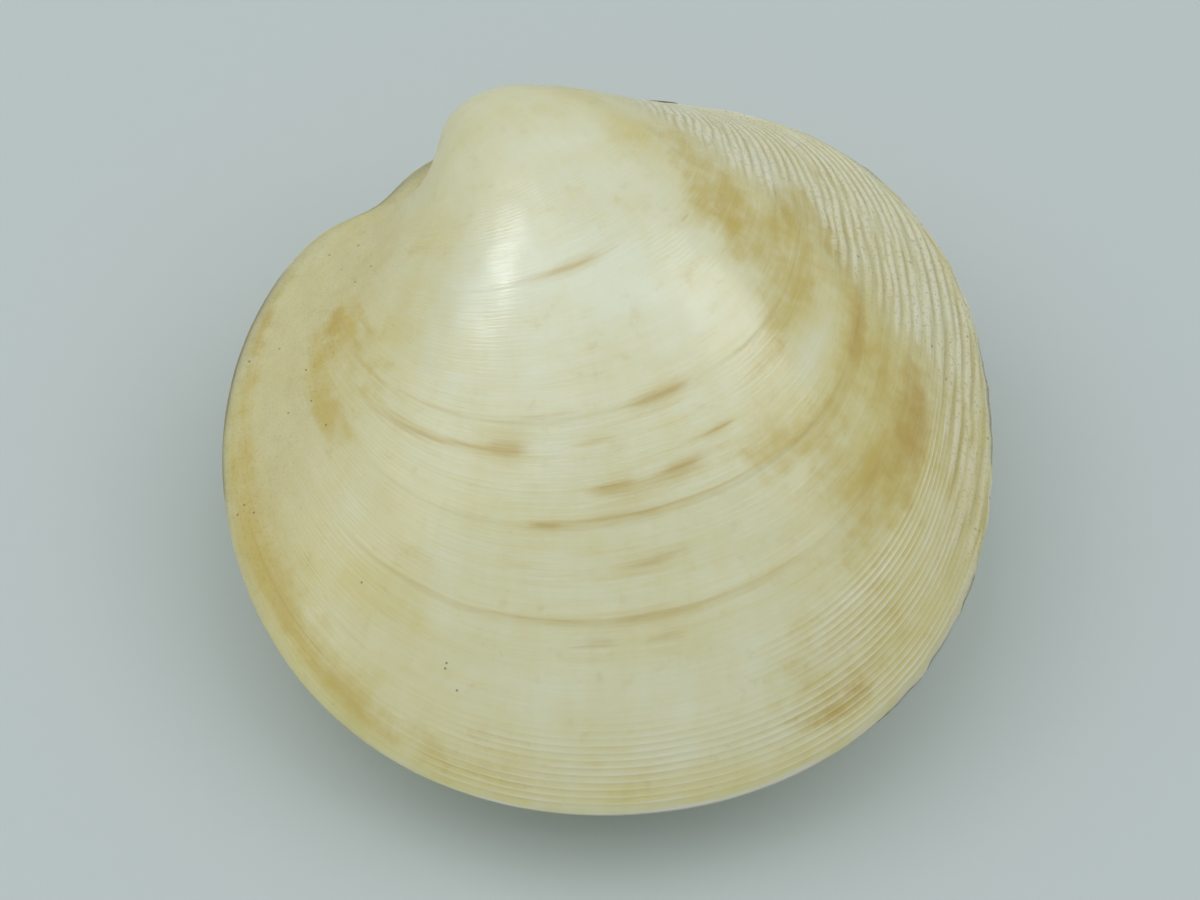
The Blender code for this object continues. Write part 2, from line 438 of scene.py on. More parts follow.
def growth_tree(margin):
    """Point on a growth line: the margin made smaller about the beak, raised and turned.

    Share is 1 on a growth line and 0 at its middle; Inset moves the point inwards.
    """
    tree, add, given = new_tree(
        "growth_point",
        {"Direction": 0.0, "Stage": 1.0, "Height": 0.0, "Inset": 0.0, "Share": 1.0},
        {"Point": "NodeSocketVector"},
    )
    half_step = 0.5
    direction = given["Direction"]
    here = add(GROUP, direction, node_tree=margin)
    ahead = add("ADD", direction, half_step)
    ahead = add(GROUP, ahead, node_tree=margin)
    behind = add("ADD", direction, -half_step)
    behind = add(GROUP, behind, node_tree=margin)
    along = add("vector SUBTRACT", ahead, behind)

    axis = coil_axis()
    reach = add("vector SUBTRACT", here, BEAK)
    sweep = add("vector CROSS_PRODUCT", axis * COIL_RATE, reach)
    growth = add("vector ADD", reach, sweep)
    normal = add("vector CROSS_PRODUCT", growth, along)
    normal = add("vector NORMALIZE", normal)
    raised = add("vector SCALE", normal, Scale=given["Height"])

    ring = add("vector SCALE", here, Scale=given["Share"])
    ring = add("vector SUBTRACT", ring, BEAK)
    ring = add("vector SCALE", ring, Scale=given["Stage"])
    outward = add("vector NORMALIZE", here)
    inset = add("MULTIPLY", given["Inset"], given["Share"])
    inward = add("vector SCALE", outward, Scale=inset)
    flat = add("vector SUBTRACT", ring, inward)
    flat = add("vector ADD", flat, raised)

    held = add("MAXIMUM", given["Stage"], FIRST_STAGE)
    turn = add("LOGARITHM", held, math.e)
    turn = add("MULTIPLY", turn, COIL_RATE)
    turned = add(
        "ShaderNodeVectorRotate", Vector=flat, Axis=axis, Angle=turn, rotation_type="AXIS_ANGLE"
    )
    point = add("vector ADD", turned, BEAK)
    add("NodeGroupOutput", point)
    return tree


def hump(add, offset, half_width):
    """Bell curve of a field, 1 where the offset is 0."""
    offset = add("MULTIPLY", offset, 1.0 / half_width)
    offset = add("MULTIPLY", offset, offset)
    return add("EXPONENT", add("MULTIPLY", offset, -1.0))


def ramp(add, value, low, high, at_low=0.0, at_high=1.0):
    """Smooth change of a field from one value to another, held outside its range."""
    return add(MAP_RANGE, value, low, high, at_low, at_high, interpolation_type="SMOOTHSTEP")


def product(add, *factors):
    result = factors[0]
    for factor in factors[1:]:
        result = add("MULTIPLY", result, factor)
    return result


def pick(add, index, values):
    """The value of a short list that stands at an index field."""
    switch = add("GeometryNodeIndexSwitch", Index=index, data_type="FLOAT")
    while len(switch.index_switch_items) < len(values):
        switch.index_switch_items.new()
    for socket, value in zip(switch.inputs[1:], values):
        socket.default_value = value
    return switch


def noise(add, place, scale, low, high, detail=2.0):
    """Noise laid out along the growth lines, brought to a range; its scale is per millimetre
    round the margin and per ridge across it."""
    stretched = add("vector MULTIPLY", place, scale)
    raw = add(NOISE, Vector=stretched, Scale=1.0, Detail=detail)
    return add(MAP_RANGE, raw, 0.3, 0.7, low, high)


def relief_tree():
    """Height of the outer surface over the plain growth form, and how far up its ridge it is."""
    tree, add, given = new_tree(
        "ridge_relief",
        {
            "Direction": 0.0,
            "Stage": 1.0,
            "Open": 1.0,
            "Grown": (0.0, 0.0, 0.0),
            "Fine": 0.0,
            "Coarse": 0.0,
            "Other Coarse": 0.0,
            "Fine Height": 0.05,
            "Coarse Height": 0.06,
            "Pause Height": 1.0,
        },
        {"Height": "NodeSocketFloat", "Crest": "NodeSocketFloat", "Flank": "NodeSocketFloat"},
    )
    direction = given["Direction"]
    stage = given["Stage"]
    grown = given["Grown"]

    # The coarse posterior flank spreads on young shell and leaves two worn patches smooth
    late = ramp(add, stage, 0.84, 0.96)
    skew = add("MULTIPLY_ADD", late, 20.0, direction)
    flank = product(
        add, ramp(add, skew, 346, 364), ramp(add, direction, 440, 466, 1.0, 0.0),
        ramp(add, stage, 0.24, 0.42),
    )
    worn = product(
        add, ramp(add, stage, 0.54, 0.57), ramp(add, stage, 0.61, 0.65, 1.0, 0.0),
        ramp(add, direction, 368, 376, 0.85, 0.0),
    )
    olive = product(
        add, ramp(add, stage, 0.79, 0.80), ramp(add, stage, 0.84, 0.87, 1.0, 0.0),
        ramp(add, direction, 354, 364, 0.9, 0.0),
    )
    worn = add("SUBTRACT", 1.0, add("ADD", worn, olive))
    flank = product(add, flank, worn)

    # Fine ridges stand bold near the ventral margin and behind the last pause
    ventral = product(add, ramp(add, stage, 0.89, 0.945), ramp(add, direction, 222, 262))
    behind = product(
        add, ramp(add, stage, 0.80, 0.82), ramp(add, direction, 285, 308),
        add("SUBTRACT", 1.0, olive),
    )
    disc = product(add, ramp(add, direction, 205, 235, 0.03, 0.06), ramp(add, stage, 0.2, 0.32))
    bold = add("MAXIMUM", ventral, behind)
    bold = add("MAXIMUM", bold, disc)

    fine = product(add, given["Fine"], bold, noise(add, grown, (0.16, 0.16, 0.3), 0.45, 1.5))
    fork = noise(add, grown, (0.08, 0.08, 0.09), -1.5, 2.5)
    coarse = add(MIX, fork, A=given["Coarse"], B=given["Other Coarse"])
    coarse = product(
        add, coarse, noise(add, grown, (0.14, 0.14, 0.4), 0.5, 1.25),
        noise(add, grown, (0.5, 0.5, 0.6), 0.65, 1.2),
    )
    crest = add(MIX, flank, A=fine, B=coarse)
    fine_height = add("MULTIPLY", fine, given["Fine Height"])
    coarse_height = add("MULTIPLY", coarse, given["Coarse Height"])
    coarse_height = product(add, coarse_height, ramp(add, stage, 0.35, 0.65, 0.5, 1.0))
    height = add(MIX, flank, A=fine_height, B=coarse_height)
    height = product(add, height, ramp(add, given["Open"], 0.3, 0.8))

    ledges = 0.0
    for pause, step, reach in PAUSES:
        shoulder = add(MAP_RANGE, stage, pause - reach, pause, 0.0, step)
        edge = ramp(add, stage, pause, pause + 0.005, 1.0, 0.0)
        ledges = add("ADD", product(add, shoulder, edge), ledges)
    ledges = product(
        add, ledges, given["Pause Height"], ramp(add, direction, 205, 240),
        noise(add, grown, (0.09, 0.09, 0.03), 0.35, 1.3),
    )
    height = add("ADD", height, ledges)
    swell = noise(add, grown, (0.1, 0.1, 0.035), -0.07, 0.07)
    height = add("ADD", height, swell)

    bare = ramp(add, direction, HINGE_AT + 12, HINGE_AT + 50)
    bare = product(add, bare, ramp(add, direction, HINGE_AT + 325, HINGE_AT + 352, 1.0, 0.0))
    at_rim = ramp(add, stage, 0.9975, 1.0, 1.0, 0.0)
    at_beak = ramp(add, stage, 0.0, 0.2)
    height = product(add, height, bare, at_rim, at_beak)
    add("NodeGroupOutput", height, crest, flank)
    return tree


def valve_tree():
    """A whole valve: cavity, rim and outer surface as one grid of rows and columns."""
    tree, add, given = new_tree(
        "clam_valve",
        {
            "Side": 1.0,
            "Columns": COLUMNS,
            "Fine Ridge Height": 0.05,
            "Coarse Ridge Height": 0.06,
            "Pause Height": 1.0,
            "Valve Gap": 0.04,
            "Material": None,
        },
        {"Geometry": "NodeSocketGeometry"},
    )
    growth = growth_tree(margin_tree())
    relief = relief_tree()
    ridge_rows = RIDGES_IN_MESH * ROWS_PER_RIDGE
    rows = CAVITY_ROWS + ridge_rows + UMBO_ROWS + 1

    points = add("whole ADD", given["Columns"], 1)
    grid = add("GeometryNodeMeshGrid", 1.0, 1.0, rows, points)
    index = add("GeometryNodeInputIndex")
    row = add("whole DIVIDE_FLOOR", index, points)
    column = add("whole MODULO", index, points)
    # Columns stand closer together on the coarse flank, where the relief changes fastest
    even = add("DIVIDE", column, given["Columns"])
    first_phase = math.pi - math.radians(COLUMNS_CLOSEST_AT - HINGE_AT)
    phase = add("MULTIPLY_ADD", even, 2.0 * math.pi, first_phase)
    swing = add("SINE", phase)
    start = HINGE_AT - COLUMNS_LEAN * math.sin(first_phase)
    direction = add("MULTIPLY_ADD", swing, COLUMNS_LEAN, start)
    direction = add("MULTIPLY_ADD", even, 360.0, direction)

    # Outer rows: a ridge count from the margin, then evenly on up to the beak
    outer = add("whole SUBTRACT", row, CAVITY_ROWS)
    whole = add("whole DIVIDE_FLOOR", outer, ROWS_PER_RIDGE)
    within = add("whole FLOORED_MODULO", outer, ROWS_PER_RIDGE)
    in_group = add("whole FLOORED_MODULO", outer, RIDGES_FUSED * ROWS_PER_RIDGE)
    ridge = add("ADD", whole, pick(add, within, ROW_IN_RIDGE))
    last_ridge = RIDGE_SPAN * math.log(RIDGE_FALL / RIDGE_REST)
    umbo = add("whole SUBTRACT", outer, ridge_rows)
    umbo_step = (last_ridge - RIDGES_IN_MESH) / UMBO_ROWS
    umbo_ridge = add("MULTIPLY_ADD", umbo, umbo_step, float(RIDGES_IN_MESH))
    on_umbo = add("FunctionNodeCompare", A=umbo, B=0, data_type="INT", operation="GREATER_EQUAL")
    shifted = add("whole ADD", in_group, ROWS_PER_RIDGE)
    shifted = add("whole FLOORED_MODULO", shifted, RIDGES_FUSED * ROWS_PER_RIDGE)
    ridge = add(SWITCH, on_umbo, ridge, umbo_ridge, input_type="FLOAT")
    ridged = add(SWITCH, on_umbo, 1.0, 0.0, input_type="FLOAT")
    fine = product(add, pick(add, within, FINE_PROFILE), ridged)
    coarse = product(add, pick(add, in_group, COARSE_PROFILE), ridged)
    other_coarse = product(add, pick(add, shifted, COARSE_PROFILE), ridged)

    line = add("MULTIPLY", ridge, -1.0 / RIDGE_SPAN)
    line = add("EXPONENT", line)
    line = add("MULTIPLY_ADD", line, RIDGE_FALL, -RIDGE_REST)
    line = add("MAXIMUM", line, 0.0)

    # Texture place: round the margin in millimetres, and the ridge count across it
    turn = add("RADIANS", direction)
    ring_x = add("MULTIPLY", add("COSINE", turn), MARGIN_RADIUS)
    ring_y = add("MULTIPLY", add("SINE", turn), MARGIN_RADIUS)
    other_side = add("MULTIPLY_ADD", given["Side"], VALVE_SHIFT, ridge)
    grown = add("ShaderNodeCombineXYZ", ring_x, ring_y, other_side)

    # Growth lines wander a little; behind they swing out and crowd at the margin before the hinge
    wander = noise(add, grown, (0.07, 0.07, 0.03), -0.001, 0.001)
    at_flank = ramp(add, direction, 345, 380)
    at_flank = product(add, at_flank, ramp(add, direction, 440, 470, 1.0, 0.0))
    wander = product(
        add, wander, ramp(add, line, 0.9, 1.0, 1.0, 0.0), ramp(add, line, 0.2, 0.4),
        add("MULTIPLY_ADD", at_flank, 3.0, 1.0),
    )
    wavy = add("ADD", line, wander)
    wobble = product(
        add, noise(add, grown, (0.28, 0.28, 0.1), -0.0016, 0.0016),
        ramp(add, line, 0.93, 1.0, 1.0, 0.0), ramp(add, line, 0.3, 0.45), at_flank,
    )
    wavy = add("ADD", wavy, wobble)
    back = add(MAP_RANGE, direction, 330.0, 430.0, clamp=False)
    back = add("MAXIMUM", back, 0.0)
    back = add("SMOOTH_MIN", back, 1.1, 0.2)
    back = add("POWER", back, 2.6)
    back = product(add, back, BACK_SWING, ramp(add, direction, 438, 470, 1.0, 0.0))
    front = ramp(add, direction, 160, 215, 1.0, 0.0)
    front = product(add, front, ramp(add, direction, 114, 140, 0.0, 0.2))
    left_over = add("SUBTRACT", 1.0, wavy)
    front = add("MULTIPLY_ADD", front, left_over, back)
    swung = add("MULTIPLY", wavy, add("ADD", front, 1.0))
    free = add("SUBTRACT", 1.0, swung)
    crowded = add("MULTIPLY", left_over, CROWDING)
    to_margin = add("SMOOTH_MAX", free, crowded, 0.02)
    open_share = add(MAP_RANGE, add("SUBTRACT", free, crowded), -0.01, 0.02)
    to_margin = product(add, to_margin, ramp(add, left_over, 0.0, 0.01))
    outer_stage = add("SUBTRACT", 1.0, to_margin)

    surface = add(
        GROUP, node_tree=relief, Direction=direction, Stage=line, Grown=grown,
        Fine=fine, Coarse=coarse, Other_Coarse=other_coarse, Open=open_share,
        Fine_Height=given["Fine Ridge Height"], Coarse_Height=given["Coarse Ridge Height"],
        Pause_Height=given["Pause Height"],
    )

    # Cavity rows: the first closes the roof, the last is the inner edge of the rim
    cavity_share = add("MINIMUM", row, 1.0)
    cavity_stage = add(MAP_RANGE, row, 1.0, CAVITY_ROWS - 1.0, CAVITY_TOP_STAGE)
    off_hinge = add("ADD", direction, -HINGE_AT)
    off_hinge = add("WRAP", off_hinge, 180.0, -180.0)
    plate = hump(add, off_hinge, HINGE_PLATE_SPREAD)
    cavity_inset = add("MULTIPLY_ADD", plate, HINGE_PLATE, WALL_INSET)

    inside = add("FunctionNodeCompare", A=outer, B=0, data_type="INT", operation="LESS_THAN")
    stage = add(SWITCH, inside, outer_stage, cavity_stage, input_type="FLOAT")
    height = add(SWITCH, inside, surface.outputs["Height"], 0.0, input_type="FLOAT")
    chips = product(
        add, noise(add, grown, (0.7, 0.7, 0.0), -0.05, CHIP_DEPTH, 3.0),
        ramp(add, outer_stage, 0.975, 1.0), ramp(add, direction, 295, 320),
        ramp(add, direction, 410, 440, 1.0, 0.0),
    )
    chips = add("MAXIMUM", chips, 0.0)
    inset = add(SWITCH, inside, chips, cavity_inset, input_type="FLOAT")
    share = add(SWITCH, inside, 1.0, cavity_share, input_type="FLOAT")
    point = add(
        GROUP, node_tree=growth, Direction=direction, Stage=stage, Height=height,
        Inset=inset, Share=share,
    )

    # Both valves, mirrored, leaned the way they lie and brought to metres
    half_gap = add("MULTIPLY", given["Valve Gap"], 0.5)
    lift = add("ShaderNodeCombineXYZ", 0.0, 0.0, half_gap)
    point = add("vector ADD", point, lift)
    mirror = add("ShaderNodeCombineXYZ", 1.0, 1.0, given["Side"])
    point = add("vector MULTIPLY", point, mirror)
    lean = (math.radians(REST_PITCH), math.radians(REST_ROLL), 0.0)
    point = add("ShaderNodeVectorRotate", Vector=point, Rotation=lean, rotation_type="EULER_XYZ")
    point = add("vector SCALE", point, Scale=MM)

    valve = add("GeometryNodeSetPosition", Geometry=grid, Position=point)
    around = add("ShaderNodeCombineXYZ", add("DIVIDE", direction, 360.0), line)
    stored = {
        "grown": grown,
        "stage": outer_stage,
        "direction": direction,
        "crest": surface.outputs["Crest"],
        "flank": surface.outputs["Flank"],
        "cavity": inside,
        "open_share": open_share,
        "UVMap": around,
    }
    types = {"grown": "FLOAT_VECTOR", "UVMap": "FLOAT2"}
    for name, field in stored.items():
        valve = add(
            "GeometryNodeStoreNamedAttribute", Geometry=valve, Name=name, Value=field,
            data_type=types.get(name, "FLOAT"), domain="CORNER" if name == "UVMap" else "POINT",
        )
    valve = add("GeometryNodeSetShadeSmooth", Geometry=valve)
    valve = add("GeometryNodeRealizeInstances", Geometry=valve)
    valve = add("GeometryNodeSetMaterial", Geometry=valve, Material=given["Material"])
    add("NodeGroupOutput", valve)
    return tree


def baked(name, tree, values):
    """Run a tree on an empty mesh and return its result as a plain mesh object."""
    host = placed(name, bpy.data.meshes.new(name + "_host"))
    modifier = host.modifiers.new("growth", "NODES")
    modifier.node_group = tree
    for item in tree.interface.items_tree:
        if item.item_type == "SOCKET" and item.in_out == "INPUT" and item.name in values:
            modifier[item.identifier] = values[item.name]
    graph = bpy.context.evaluated_depsgraph_get()
    mesh = bpy.data.meshes.new_from_object(host.evaluated_get(graph))
    host.modifiers.remove(modifier)
    empty = host.data
    host.data = mesh
    mesh.name = name
    bpy.data.meshes.remove(empty)
    return host


def close_up(mesh, columns):
    """Join the last column to the first, draw both poles to a point and turn the faces outwards."""
    work = bmesh.new()
    work.from_mesh(mesh)
    work.verts.ensure_lookup_table()
    verts = list(work.verts)
    points = columns + 1
    joined = {verts[start + columns]: verts[start] for start in range(0, len(verts), points)}
    for pole in (0, len(verts) - points):
        for column in range(1, points):
            joined[verts[pole + column]] = verts[pole]
    bmesh.ops.weld_verts(work, targetmap=joined)
    bmesh.ops.recalc_face_normals(work, faces=work.faces)
    if work.calc_volume(signed=True) < 0.0:
        bmesh.ops.reverse_faces(work, faces=work.faces)
    if any(not edge.is_manifold for edge in work.edges):
        raise RuntimeError(f"{mesh.name} is not closed")
    work.to_mesh(mesh)
    work.free()


def mesh_points(mesh):
    points = np.zeros(len(mesh.vertices) * 3)
    mesh.vertices.foreach_get("co", points)
    return points.reshape(-1, 3)


def read_floats(mesh, name):
    values = np.zeros(len(mesh.vertices), np.float32)
    mesh.attributes[name].data.foreach_get("value", values)
    return values


def store_floats(mesh, name, values):
    layer = mesh.attributes.new(name, "FLOAT", "POINT")
    layer.data.foreach_set("value", np.clip(values, 0.0, 1.0).astype(np.float32))


def stain_field(stage, direction, stains, power):
    """Stains laid over each other; power sets how square their ends are."""
    clean = np.ones_like(stage)
    for at_stage, at_direction, half_width, half_length, strength in stains:
        across = ((stage - at_stage) / half_width) ** 2
        along = (away_from(direction, at_direction) / half_length) ** power
        clean *= 1.0 - strength * np.exp(-across - along)
    return 1.0 - clean


def smooth(low, high, value):
    share = np.clip((value - low) / (high - low), 0.0, 1.0)
    return share * share * (3.0 - 2.0 * share)


def bell(value, centre, width):
    return np.exp(-(((value - centre) / width) ** 2))


def paint(mesh, strength):
    """Soft masks for the finish: line stains, patch stains, chalky wear and yellowing."""
    stage = read_floats(mesh, "stage")
    direction = read_floats(mesh, "direction")
    halos = [
        (at, around, HALO_WIDTH * width, HALO_LENGTH * length, share)
        for at, around, width, length, share in LINE_STAINS
    ]
    # One pale ridge crosses the patches behind the umbo
    pale = bell(stage, 0.653, 0.017) * bell(away_from(direction, 326.0), 0.0, 9.0)
    for name, stains, power, kept in (
        ("line_stain", LINE_STAINS, 4, 1.0),
        ("line_halo", halos, 2, 1.0),
        ("patch_stain", PATCH_STAINS, 2, 1.0 - 0.85 * pale),
        ("dark_stain", DARK_STAINS, 2, 1.0),
    ):
        store_floats(mesh, name, kept * strength * stain_field(stage, direction, stains, power))

    wrapped = (direction - HINGE_AT) % 360.0 + HINGE_AT
    chalk = smooth(208.0, 184.0, wrapped + 40.0 * (0.6 - stage))
    chalk *= smooth(0.28, 0.42, stage)
    store_floats(mesh, "chalk", chalk)

    yellow = 0.45 - 0.4 * bell(stage, 0.42, 0.14) * bell(wrapped, 268.0, 44.0)
    yellow += 0.3 * smooth(240.0, 205.0, wrapped)
    yellow += 0.12 * smooth(0.86, 0.97, stage) * smooth(292.0, 235.0, wrapped)
    yellow += 0.08 * smooth(0.84, 1.0, stage) + 0.25 * smooth(0.945, 0.985, stage)
    yellow += 0.3 * smooth(305.0, 335.0, wrapped) - 0.4 * smooth(348.0, 366.0, wrapped)
    yellow += 0.2 * smooth(286.0, 306.0, wrapped) * smooth(0.52, 0.64, stage)
    yellow += 0.25 * bell(stage, 0.2, 0.07) * bell(wrapped, 244.0, 20.0) - 0.6 * pale
    yellow += 0.25 * bell(stage, 0.33, 0.07) * bell(wrapped, 322.0, 16.0)
    yellow += 0.35 * bell(stage, 0.84, 0.05) * bell(wrapped, 222.0, 16.0)
    store_floats(mesh, "yellowing", yellow)
    store_floats(mesh, "grown_shell", smooth(0.2, 0.42, stage))


def speck_points(mesh):
    """Places of the specks: the vertices nearest to them by stage and direction."""
    stage = read_floats(mesh, "stage")
    direction = read_floats(mesh, "direction")
    outer = read_floats(mesh, "cavity") < 0.5
    points = mesh_points(mesh)
    found = []
    for at_stage, at_direction in SPECKS:
        distance = ((stage - at_stage) / 0.004) ** 2 + away_from(direction, at_direction) ** 2
        distance[~outer] = 1e6
        found.append(Vector(points[int(np.argmin(distance))]))
    return found


def finish_shell(material, look, specks):
    """Aragonite shell, grown in layers and worn smooth: the disc has a porcelain gloss,
    the front is chalky and matte, and the coarse posterior ridges hold dirt and painted shade in
    their grooves; the ridge crests are lightened by wear and by a painted highlight."""
    add = partial(wire, cleared_tree(material))
    grown = add("ShaderNodeAttribute", attribute_name="grown").outputs["Vector"]
    place = add("ShaderNodeTexCoord").outputs["Object"]
    masks = {
        label: add("ShaderNodeAttribute", attribute_name=label).outputs["Fac"]
        for label in (
            "line_stain", "line_halo", "patch_stain", "dark_stain", "chalk", "yellowing",
            "crest", "flank", "grown_shell", "stage", "open_share",
        )
    }

    # Streaks that follow the growth lines: 8 mm long, then 3 mm long and finer than a ridge
    streaks = noise(add, grown, (0.12, 0.12, 0.8), 0.0, 1.0, 5.0)
    threads = noise(add, grown, (0.3, 0.3, 2.2), 0.0, 1.0, 4.0)
    rays = noise(add, grown, (0.8, 0.8, 0.012), -1.0, 1.0, 2.0)
    # Clouding of the cream, which keeps the disc from looking painted
    clouds = add(NOISE, Vector=place, Scale=per_metre(CLOUD_SIZE), Detail=4.0, Roughness=0.6)
    cloudy = add(MAP_RANGE, clouds, 0.32, 0.68, -0.2, 0.2)

    yellow = add("ADD", masks["yellowing"], cloudy)
    streaked = add(MAP_RANGE, streaks, 0.0, 1.0, -0.08, 0.08)
    streaked = product(add, streaked, masks["grown_shell"])
    yellow = add("ADD", yellow, streaked)
    yellow = add("MULTIPLY_ADD", rays, 0.05, yellow, use_clamp=True)
    colour = add(MIX, yellow, A=look.white, B=look.cream, data_type="RGBA")

    # Grain and mottling of worn shell, which break up the chalky front and the edges of stains
    grain = add(NOISE, Vector=place, Scale=per_metre(GRAIN_SIZE), Detail=3.0, Roughness=0.6)
    grainy = add(MAP_RANGE, grain, 0.35, 0.65, 0.3)
    mottle = add(NOISE, Vector=place, Scale=per_metre(MOTTLE_SIZE), Detail=4.0, Roughness=0.6)
    mottle = add(MAP_RANGE, mottle, 0.3, 0.7)
    chalked = product(add, masks["chalk"], grainy, add("MULTIPLY_ADD", mottle, 0.5, 0.6))
    colour = add(MIX, chalked, A=colour, B=look.chalk, data_type="RGBA")

    # Stains soak in along the growth lines, and their edges are clouded and slightly streaked
    patches = masks["patch_stain"]
    for pattern, share in ((streaks, 0.2), (threads, 0.12), (mottle, 0.3), (cloudy, 0.8)):
        patches = add("MULTIPLY_ADD", pattern, share, patches)
    patches = ramp(add, patches, 0.42, 1.45)
    halo = add("MULTIPLY_ADD", streaks, 0.5, masks["line_halo"])
    halo = add(MAP_RANGE, halo, 0.45, 1.2, 0.0, 0.4)
    patches = add("MAXIMUM", patches, halo)
    colour = add(MIX, patches, A=colour, B=look.tan, data_type="RGBA")
    browned = add("MULTIPLY_ADD", mottle, 0.4, masks["dark_stain"])
    browned = add(MAP_RANGE, browned, 0.3, 1.2, 0.0, 0.85)
    dashes = add("MULTIPLY_ADD", threads, 0.4, masks["line_stain"])
    dashes = add(MAP_RANGE, dashes, 0.35, 1.2, 0.0, 0.58)
    deep = add("MAXIMUM", browned, dashes)
    colour = add(MIX, deep, A=colour, B=look.rust, data_type="RGBA")

    # Where the rows crowd at the margin, lines laid out by stage stand in for their ridges
    depth = add("ShaderNodeCombineXYZ", 0.0, 0.0, add("MULTIPLY", masks["stage"], 90.0))
    along = add("vector MULTIPLY", grown, (0.2, 0.2, 0.0))
    along = add("vector ADD", along, depth)
    lines = add(NOISE, Vector=along, Scale=1.0, Detail=2.0)
    lines = add(MAP_RANGE, lines, 0.35, 0.6)
    crest = add(MIX, masks["open_share"], A=lines, B=masks["crest"])

    # Grooves darker: dirt, and painted shade in the grooves
    groove = add(MAP_RANGE, crest, 0.05, 0.6, 1.0, 0.0)
    dirt_and_shade_share = add(MAP_RANGE, streaks, 0.0, 1.0, 0.35)
    groove_dirt_and_shade = product(add, masks["flank"], groove, dirt_and_shade_share, grainy, 0.8)
    colour = add(MIX, groove_dirt_and_shade, A=colour, B=look.dirt, data_type="RGBA")
    # Crests lighter: partly worn shell, partly a painted highlight along the ridge crests
    crest_wear_and_highlight = add(MAP_RANGE, crest, 0.3, 0.9, 0.0, 0.85)
    worn_flank = add(MAP_RANGE, product(add, masks["flank"], grainy), 0.0, 1.0, 1.0, 0.45)
    stained = add(MAP_RANGE, patches, 0.0, 1.0, 1.0, 0.4)
    crest_wear_and_highlight = product(add, crest_wear_and_highlight, worn_flank, stained)
    colour = add(MIX, crest_wear_and_highlight, A=colour, B=look.crest, data_type="RGBA")

    # Pits in the grain of the worn parts, scattered dots of dirt, and the specks of the list
    either = add("MAXIMUM", masks["chalk"], masks["flank"])
    pits = add(MAP_RANGE, grain, 0.48, 0.3, 0.0, 0.45)
    pits = product(add, pits, add("MULTIPLY_ADD", masks["chalk"], 0.6, masks["flank"]))
    colour = add(MIX, pits, A=colour, B=linear(PIT_COLOUR), data_type="RGBA")
    dots = add("ShaderNodeTexVoronoi", Vector=place, Scale=per_metre(DOT_SPACING))
    chance = add("ShaderNodeSeparateColor", dots.outputs["Color"]).outputs["Red"]
    rare = add("GREATER_THAN", chance, 0.9)
    small = add("LESS_THAN", dots.outputs["Distance"], 0.12)
    dark = product(add, rare, small, either, 0.45)
    speck_size = SPECK_RADIUS * MM
    for point in specks:
        gap = add("vector DISTANCE", place, point)
        speck = add(MAP_RANGE, gap.outputs["Value"], 0.5 * speck_size, 1.6 * speck_size, 0.7, 0.0)
        dark = add("MAXIMUM", dark, speck)
    colour = add(MIX, dark, A=colour, B=linear(SPECK_COLOUR), data_type="RGBA")

    rough = add(MAP_RANGE, streaks, 0.0, 1.0, 0.18, 0.28)
    rough = add(MIX, masks["grown_shell"], A=0.42, B=rough)
    rough = add(MIX, either, A=rough, B=0.78)

    # Relief too fine for the mesh: threads between the ridges, and the grain of worn shell
    fine_lines = product(add, threads, masks["grown_shell"])
    striae = add("ShaderNodeBump", Strength=0.3, Distance=0.02 * MM, Height=fine_lines)
    pitted = add("MULTIPLY", grain, either)
    crowded = product(add, lines, masks["flank"], add("SUBTRACT", 1.0, masks["open_share"]))
    pitted = add("ADD", pitted, crowded)
    bump = add("ShaderNodeBump", Strength=0.4, Distance=0.08 * MM, Height=pitted, Normal=striae)

    shader = add(
        "ShaderNodeBsdfPrincipled", Base_Color=colour, Roughness=rough, IOR=1.53, Normal=bump,
        Subsurface_Weight=0.45, Subsurface_Scale=MM,
    )
    shader.inputs["Subsurface Radius"].default_value = (1.0, 0.8, 0.5)
    add("ShaderNodeOutputMaterial", Surface=shader)


